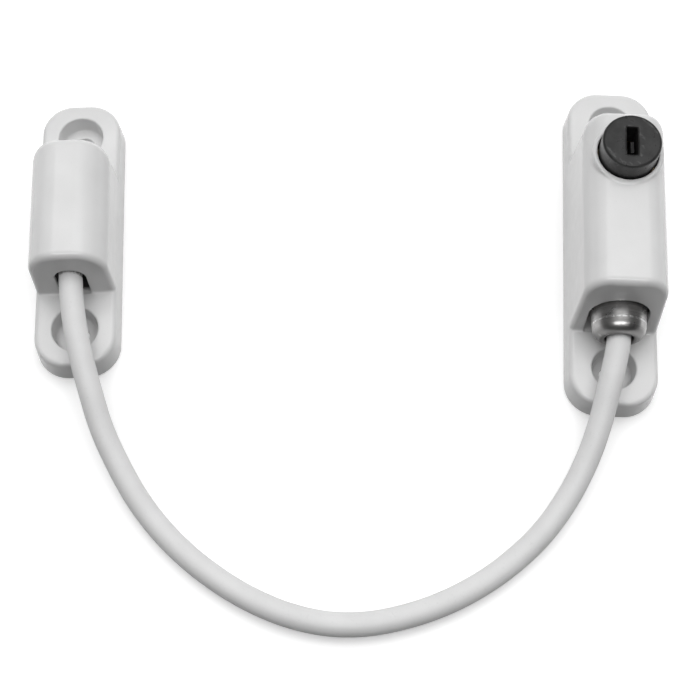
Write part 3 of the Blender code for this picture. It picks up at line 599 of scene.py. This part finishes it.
def plug_outline():
    """Half section of the plug, from its bore round its nose to its tip."""
    bore = CABLE_RADIUS + 0.5
    rope, depth = ROPE_HOLE
    step_down = SHEATH_IN_PLUG + 0.3
    outline = [(0, depth), (rope, depth), (rope, step_down), (bore, step_down), (bore, PLUG_START + 0.5)]
    outline += reversed(quarter((bore + 0.45, PLUG_START + 0.45), 0.45, 180))
    length, inset = PLUG_NOSE
    for step in range(17):
        angle = math.radians(90 * step / 16)
        radius = PLUG_SHOULDER - inset * (1 - math.sin(angle))
        outline.append((radius, PLUG_START + length * (1 - math.cos(angle))))
    outline += [
        (PLUG_RADIUS, 18.8), (PLUG_RADIUS, 30.4), (PLUG_RADIUS - 0.15, 30.65), (3.55, 33.1), (3.4, 33.3),
        (3.4, PLUG_NECK[0] - 0.15), (3.25, PLUG_NECK[0]), (2.15, PLUG_NECK[0]), (2.0, PLUG_NECK[0] + 0.15),
        (2.0, PLUG_NECK[1] - 0.15), (2.15, PLUG_NECK[1]), (3.25, PLUG_NECK[1]), (3.4, PLUG_NECK[1] + 0.15),
        (3.4, PLUG_TIP - 1.2),
    ]
    outline += quarter((2.2, PLUG_TIP - 1.2), 1.2, 0)[1:]
    outline += [(0, PLUG_TIP)]
    return outline


def make_plug(steel):
    plug = lathe("plug", plug_outline(), along_cable(LOCK_FRAME), steel)
    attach(plug, "cable")
    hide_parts("cable_plug")
    return plug


# ---------------------------------------------------------------- cable

def body_point(body_frame, along):
    return body_frame @ Vector((0, along, CABLE_HEIGHT))


def smooth_line(points, steps):
    """Points on the Catmull-Rom curve through the given points."""
    line = []
    padded = [2 * points[0] - points[1]] + points + [2 * points[-1] - points[-2]]
    for a, b, c, d in zip(padded, padded[1:], padded[2:], padded[3:]):
        for step in range(steps):
            t = step / steps
            line.append(0.5 * (
                2 * b + (c - a) * t + (2 * a - 5 * b + 4 * c - d) * t ** 2
                + (3 * b - a - 3 * c + d) * t ** 3))
    return line + [points[-1]]


def cable_line():
    points = [body_point(ANCHOR_FRAME, along) for along in (SHEATH_IN_ANCHOR, 30.0, 24.5)]
    points += [Vector(point) * MM for point in CABLE_ROUTE]
    points += [body_point(LOCK_FRAME, along) for along in (13.5, SHEATH_IN_PLUG)]
    return smooth_line(points, 10)


def make_cable(sheath):
    line = cable_line()
    curve = bpy.data.curves.new("cable_sheath", "CURVE")
    curve.dimensions = "3D"
    curve.bevel_depth = CABLE_RADIUS * MM
    curve.bevel_resolution = 16
    curve.use_fill_caps = True
    spline = curve.splines.new("POLY")
    spline.points.add(len(line) - 1)
    for point, place in zip(spline.points, line):
        point.co = (*place, 1.0)
    curve.materials.append(sheath)
    cable = bpy.data.objects.new("cable_sheath", curve)
    bpy.context.scene.collection.objects.link(cable)
    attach(cable, "cable")
    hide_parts("cable")


# ---------------------------------------------------------------- materials

class Finish:
    """Node graph of one material. Its textures follow the piece's own coordinates, in metres."""

    def __init__(self, name, metallic=0.0):
        self.material = bpy.data.materials.new(name)
        self.material.use_nodes = True
        self.nodes = self.material.node_tree.nodes
        self.shader = self.nodes["Principled BSDF"]
        self.shader.inputs["Metallic"].default_value = metallic
        self.place = self.nodes.new("ShaderNodeTexCoord").outputs["Object"]
        self.normal = None

    def node(self, kind, inputs, **settings):
        made = self.nodes.new(kind)
        for setting, value in settings.items():
            setattr(made, setting, value)
        for name, value in inputs.items():
            self.feed(made.inputs[name], value)
        return made

    def feed(self, socket, value):
        if isinstance(value, bpy.types.NodeSocket):
            self.material.node_tree.links.new(value, socket)
        else:
            socket.default_value = value

    def noise(self, scale, stretch=(1, 1, 1), detail=3.0):
        place = self.node("ShaderNodeMapping", {"Vector": self.place, "Scale": stretch})
        noise = self.node("ShaderNodeTexNoise", {
            "Vector": place.outputs["Vector"], "Scale": scale, "Detail": detail})
        return noise.outputs["Fac"]

    def level(self, value, low, high, to_low=0.0, to_high=1.0):
        levels = self.node("ShaderNodeMapRange", {
            "Value": value, "From Min": low, "From Max": high, "To Min": to_low, "To Max": to_high})
        return levels.outputs["Result"]

    def maths(self, operation, first, second):
        step = self.node("ShaderNodeMath", {0: first, 1: second}, operation=operation)
        return step.outputs["Value"]

    def blend(self, share, first, second):
        mix = self.node("ShaderNodeMixRGB", {"Fac": share, "Color1": first, "Color2": second})
        return mix.outputs["Color"]

    def edges(self, share):
        """How far a point lies on a worn outward edge, up to the given share."""
        pointiness = self.nodes.new("ShaderNodeNewGeometry").outputs["Pointiness"]
        ragged = self.level(self.noise(900), 0.35, 0.65, 0.3, 1.0)
        return self.maths("MULTIPLY", self.level(pointiness, 0.53, 0.60, 0.0, share), ragged)

    def specks(self, scale, share, size):
        """Round specks in some of the cells of a cell pattern; size is a share of a cell."""
        cells = self.node("ShaderNodeTexVoronoi", {"Vector": self.place, "Scale": scale})
        spot = self.level(cells.outputs["Distance"], size, 0.6 * size)
        chosen = self.maths("GREATER_THAN", cells.outputs["Color"], 1 - share)
        return self.maths("MULTIPLY", spot, chosen)

    def band(self, axis, place, half_width):
        """Line round the piece at one place along an axis."""
        split = self.node("ShaderNodeSeparateXYZ", {"Vector": self.place})
        offset = self.maths("SUBTRACT", split.outputs[axis], place)
        return self.level(self.maths("ABSOLUTE", offset, 0.0), half_width, 0.4 * half_width)

    def bump(self, height, depth):
        """Relief of a given depth in metres, over the relief that is there already."""
        inputs = {"Height": height, "Distance": depth}
        if self.normal is not None:
            inputs["Normal"] = self.normal
        self.normal = self.node("ShaderNodeBump", inputs).outputs["Normal"]

    def done(self, colour, roughness):
        self.feed(self.shader.inputs["Base Color"], colour)
        self.feed(self.shader.inputs["Roughness"], roughness)
        self.feed(self.shader.inputs["Normal"], self.normal)
        return self.material


def grey(value, warmth=0.0):
    return (value + warmth, value, value - warmth, 1.0)


def white_gloss_paint():
    """Gloss coat: orange peel, a fine grain, a few dust specks, greyer worn edges, and painted shade, near
    black, inside the openings.
    """
    paint = Finish("gloss_paint")
    colour = paint.blend(paint.level(paint.noise(85), 0.35, 0.65), grey(0.650), grey(0.685))
    colour = paint.blend(paint.level(paint.noise(2600), 0.62, 0.78, 0.0, 0.3), colour, grey(0.54))
    colour = paint.blend(paint.specks(330, 0.05, 0.055), colour, grey(0.26))
    colour = paint.blend(paint.edges(0.35), colour, grey(0.57))
    # Painted shade: near black and rougher inside the openings.
    interior_shade = paint.node("ShaderNodeAttribute", {}, attribute_name="interior_shade").outputs["Fac"]
    colour = paint.blend(interior_shade, colour, grey(0.035))
    paint.bump(paint.noise(520, detail=1.0), 0.000006)
    paint.bump(paint.noise(3200), 0.0000025)
    rough = paint.level(paint.noise(300), 0.3, 0.7, 0.15, 0.24)
    paint.shader.inputs["Specular IOR Level"].default_value = 0.35
    return paint.done(colour, paint.maths("MAXIMUM", rough, paint.level(interior_shade, 0.0, 1.0, 0.0, 0.7)))


def white_cable_sheath():
    """Extruded sheath: satin, faintly mottled, scuffed where it enters the anchor."""
    mouth = (ANCHOR_FRAME @ Vector((0, ANCHOR_MOUTH + 0.2, CABLE_HEIGHT))).y
    sheath = Finish("cable_sheath_pvc")
    colour = sheath.blend(sheath.level(sheath.noise(140), 0.35, 0.65), grey(0.665), grey(0.70))
    colour = sheath.blend(sheath.level(sheath.noise(1900), 0.60, 0.80, 0.0, 0.35), colour, grey(0.52))
    colour = sheath.blend(sheath.specks(400, 0.06, 0.06), colour, grey(0.33))
    ragged = sheath.level(sheath.noise(1500), 0.4, 0.6)
    scuff = sheath.maths("MULTIPLY", sheath.band("Y", mouth, 0.0005), ragged)
    colour = sheath.blend(scuff, colour, grey(0.16))
    colour = sheath.blend(sheath.edges(0.2), colour, grey(0.55))
    sheath.bump(sheath.noise(700, detail=2.0), 0.000008)
    sheath.bump(scuff, 0.00006)
    return sheath.done(colour, sheath.level(sheath.noise(400), 0.3, 0.7, 0.50, 0.62))


def grey_button():
    """Moulded plastic with a fine grain, pale dust in it and edges rubbed lighter."""
    plastic = Finish("button_plastic")
    colour = plastic.blend(plastic.level(plastic.noise(500), 0.35, 0.65), grey(0.020), grey(0.031))
    colour = plastic.blend(plastic.specks(1100, 0.12, 0.10), colour, grey(0.12))
    colour = plastic.blend(plastic.edges(0.5), colour, grey(0.11))
    plastic.bump(plastic.noise(3500), 0.000004)
    plastic.bump(plastic.level(plastic.noise(700, (1, 6, 1)), 0.60, 0.72), -0.000004)
    plastic.shader.inputs["Specular IOR Level"].default_value = 0.32
    return plastic.done(colour, plastic.level(plastic.noise(900), 0.3, 0.7, 0.26, 0.38))


def turned_steel():
    """Turned along Y: tool marks round it, smudges, scratches, painted shade darkening the nose, and a
    lighter scuffed ring at the shoulder that is partly a painted highlight.
    """
    nose = (LOCK_FRAME @ Vector((0, PLUG_START, 0))).y
    shoulder = (LOCK_FRAME @ Vector((0, PLUG_START + PLUG_NOSE[0], 0))).y
    steel = Finish("plug_steel", metallic=1.0)
    rings = steel.noise(1.0, (90, 7500, 90), detail=4.0)
    smudges = steel.noise(420)
    colour = steel.blend(steel.level(rings, 0.35, 0.65), grey(0.36, 0.003), grey(0.56, 0.005))
    colour = steel.blend(steel.level(smudges, 0.45, 0.70, 0.0, 0.5), colour, grey(0.24, 0.003))
    # Painted shade: the nose drawn darker.
    colour = steel.blend(steel.band("Y", nose, 0.0022), colour, grey(0.20, 0.002))
    # Lighter scuffed ring at the shoulder, partly a painted highlight.
    ragged = steel.level(steel.noise(1300), 0.42, 0.58)
    scuff = steel.maths("MULTIPLY", steel.band("Y", shoulder, 0.0003), ragged)
    colour = steel.blend(scuff, colour, grey(0.75))
    colour = steel.blend(steel.edges(0.4), colour, grey(0.72))
    steel.bump(rings, 0.000004)
    steel.bump(steel.level(steel.noise(260, (9, 1, 1)), 0.64, 0.70), -0.00001)
    steel.bump(scuff, 0.00003)
    rough = steel.level(smudges, 0.3, 0.7, 0.24, 0.40)
    return steel.done(colour, rough)


def metal(name, dark, light, worn, stretch, roughness):
    """Bare metal with drawn or rolled lines, blotches and bright worn edges."""
    finish = Finish(name, metallic=1.0)
    lines = finish.noise(1.0, stretch, detail=4.0)
    blotches = finish.noise(380)
    colour = finish.blend(finish.level(blotches, 0.35, 0.65), dark, light)
    colour = finish.blend(finish.level(lines, 0.55, 0.75, 0.0, 0.4), colour, dark)
    colour = finish.blend(finish.specks(700, 0.08, 0.10), colour, grey(0.12))
    colour = finish.blend(finish.edges(0.6), colour, worn)
    finish.bump(lines, 0.000005)
    finish.bump(finish.noise(1800), 0.000003)
    return finish.done(colour, finish.level(blotches, 0.3, 0.7, *roughness))


def make_finishes():
    """One material for each of the frame's material slots."""
    return {
        "white_gloss_paint": white_gloss_paint(),
        "white_cable_sheath": white_cable_sheath(),
        "grey_button": grey_button(),
        "turned_steel": turned_steel(),
        "zinc_plate": metal(
            "zinc_finish", (0.40, 0.41, 0.44, 1), (0.56, 0.57, 0.59, 1), grey(0.70),
            (250, 5200, 250), (0.30, 0.48)),
        "spring_steel": metal(
            "steel_finish", grey(0.27), grey(0.42), grey(0.62), (260, 260, 6000), (0.24, 0.40)),
        # Brass drawn dark as painted shade, for where it shows in the gap round the button.
        "brass": metal(
            "brass_painted_shade", (0.16, 0.11, 0.05, 1), (0.32, 0.23, 0.11, 1), (0.50, 0.40, 0.22, 1),
            (90, 90, 7000), (0.22, 0.42)),
    }


def dress_frame(finishes):
    """Put the finishes and slightly softened edges on the frame's own nodes."""
    for node in frame["nodes"].values():
        slot = node.data.materials[0].name.split(".")[0]
        node.data.materials[0] = finishes[slot]
        soft = node.modifiers.new("soft_edges", "BEVEL")
        soft.width = 0.08 * MM
        soft.limit_method = "ANGLE"
        soft.harden_normals = True


# ---------------------------------------------------------------- stage, lights and camera

def make_floor():
    bm = bmesh.new()
    bmesh.ops.create_grid(bm, x_segments=1, y_segments=1, size=3.0)
    mesh = bpy.data.meshes.new("floor")
    bm.to_mesh(mesh)
    bm.free()
    pale = bpy.data.materials.new("floor_white")
    pale.use_nodes = True
    shader = pale.node_tree.nodes["Principled BSDF"]
    shader.inputs["Base Color"].default_value = grey(0.95)
    shader.inputs["Roughness"].default_value = 0.9
    shader.inputs["Emission Color"].default_value = grey(1.0)
    shader.inputs["Emission Strength"].default_value = 0.22
    floor = add_piece("floor", mesh, pale)
    floor.location.z = -0.0002
    floor.visible_diffuse = False


def area_light(name, place, target, size, power):
    light = bpy.data.lights.new(name, "AREA")
    light.shape = "RECTANGLE"
    light.size, light.size_y = size
    light.energy = power
    lamp = bpy.data.objects.new(name, light)
    bpy.context.scene.collection.objects.link(lamp)
    lamp.location = place
    lamp.rotation_euler = (Vector(target) - Vector(place)).to_track_quat("-Z", "Y").to_euler()
    return lamp


def soft_surroundings():
    """World that is bright behind, dark in front, and even and dim in reflections."""
    world = bpy.data.worlds.new("studio")
    world.use_nodes = True
    nodes, links = world.node_tree.nodes, world.node_tree.links
    place = nodes.new("ShaderNodeTexCoord")
    split = nodes.new("ShaderNodeSeparateXYZ")
    ramp = nodes.new("ShaderNodeMapRange")
    path = nodes.new("ShaderNodeLightPath")
    mix = nodes.new("ShaderNodeMix")
    for name, value in zip(("From Min", "From Max", "To Min", "To Max"), WORLD_RAMP):
        ramp.inputs[name].default_value = value
    mix.inputs["B"].default_value = WORLD_IN_REFLECTIONS
    links.new(place.outputs["Generated"], split.inputs["Vector"])
    links.new(split.outputs["Y"], ramp.inputs["Value"])
    links.new(path.outputs["Is Glossy Ray"], mix.inputs["Factor"])
    links.new(ramp.outputs["Result"], mix.inputs["A"])
    links.new(mix.outputs["Result"], nodes["Background"].inputs["Strength"])
    nodes["Background"].inputs["Color"].default_value = (1.0, 1.0, 1.0, 1.0)
    return world


def light_stage():
    overhead = area_light("overhead", (0.0, -0.12, 0.90), (0.0, -0.08, 0.0), (0.9, 0.7), 3.9)
    overhead.visible_glossy = False
    area_light("softbox", (0.05, 0.30, 0.82), (0.05, 0.0, 0.0), (0.82, 0.32), 1.85)
    strip = area_light("front_strip", (0.02, -0.27, 0.58), (0.0, -0.02, 0.01), (0.50, 0.05), 1.8)
    strip.visible_diffuse = False
    scene = bpy.context.scene
    scene.world = soft_surroundings()
    scene.view_settings.view_transform = "Standard"


def make_camera():
    camera = bpy.data.objects.new("camera", bpy.data.cameras.new("camera"))
    bpy.context.scene.collection.objects.link(camera)
    camera.location = (0.00892, -0.13816, 0.28766)
    camera.rotation_euler = (math.radians(21.42), 0.0, math.radians(2.93))
    camera.data.lens = 73.3
    camera.data.sensor_width = 36.0
    camera.data.clip_start = 0.01
    bpy.context.scene.camera = camera


def build():
    finishes = make_finishes()
    make_camera()
    plug = make_plug(finishes["turned_steel"])
    make_cable(finishes["white_cable_sheath"])
    make_castings(finishes["white_gloss_paint"])
    make_backs(finishes["zinc_plate"], finishes["spring_steel"])
    make_button(finishes["grey_button"])
    make_spring(finishes["spring_steel"])
    make_ward(metal(
        "blackened_steel", grey(0.03), grey(0.06), grey(0.12), (260, 260, 6000), (0.45, 0.60)))
    dress_frame(finishes)
    make_floor()
    light_stage()


build()
